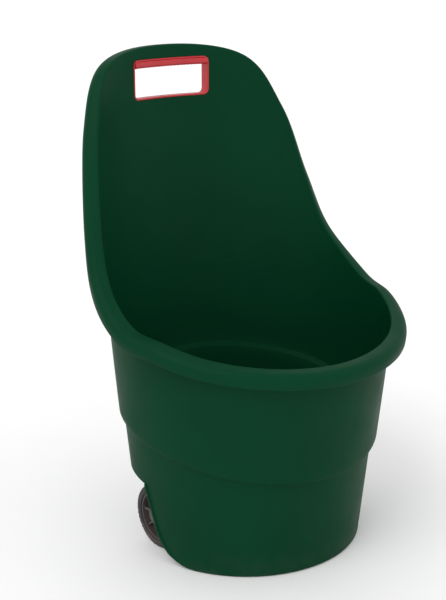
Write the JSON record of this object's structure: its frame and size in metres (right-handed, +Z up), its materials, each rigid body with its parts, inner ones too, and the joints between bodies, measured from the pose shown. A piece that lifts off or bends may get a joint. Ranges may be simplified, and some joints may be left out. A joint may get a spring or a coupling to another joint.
{
  "type": "wheeled firewood tub cart",
  "caption": "Moulded round tub cart for firewood, with a tall scoop back, a lined hand opening near its top, and small wheels in niches at the rear of its base.",
  "frame": {"origin": "centre of the tub's round base, on the ground plane", "axes": "+Z up; -Y is the low open front of the tub; +Y is the back with the hand opening; the wheel axle lies along X, and +X is the left of a person who pushes the cart"},
  "size_m": [0.559, 0.5269, 0.84],
  "materials": {
    "tub_plastic": "moulded dark green plastic, fine grain, satin sheen",
    "handle_plastic": "red plastic, satin, softly ribbed under the grip",
    "wheel_plastic": "dark grey moulded plastic",
    "tyre": "matt black tyre with light scuffs",
    "steel": "zinc plated",
    "nylon": "natural nylon"
  },
  "bodies": {
    "tub": {"tub_shell": "tub_plastic", "handle_liner": "handle_plastic", "handle_grip": "handle_plastic", "axle": "steel", "left_axle_bush": "nylon", "left_inner_washer": "steel", "left_outer_washer": "steel", "left_push_nut": "steel", "right_axle_bush": "nylon", "right_inner_washer": "steel", "right_outer_washer": "steel", "right_push_nut": "steel"},
    "left_wheel": {"left_wheel_hub": "wheel_plastic", "left_hub_sleeve": "nylon", "left_tyre": "tyre", "left_hub_cap": "wheel_plastic"},
    "right_wheel": {"right_wheel_hub": "wheel_plastic", "right_hub_sleeve": "nylon", "right_tyre": "tyre", "right_hub_cap": "wheel_plastic"}
  },
  "joints": [
    {"name": "left_wheel_spin", "type": "hinge", "parent": "tub", "child": "left_wheel", "pos_m": [0.164, 0.025, 0.056], "axis": [1, 0, 0], "continuous": true},
    {"name": "right_wheel_spin", "type": "hinge", "parent": "tub", "child": "right_wheel", "pos_m": [-0.164, 0.025, 0.056], "axis": [1, 0, 0], "continuous": true}
  ]
}
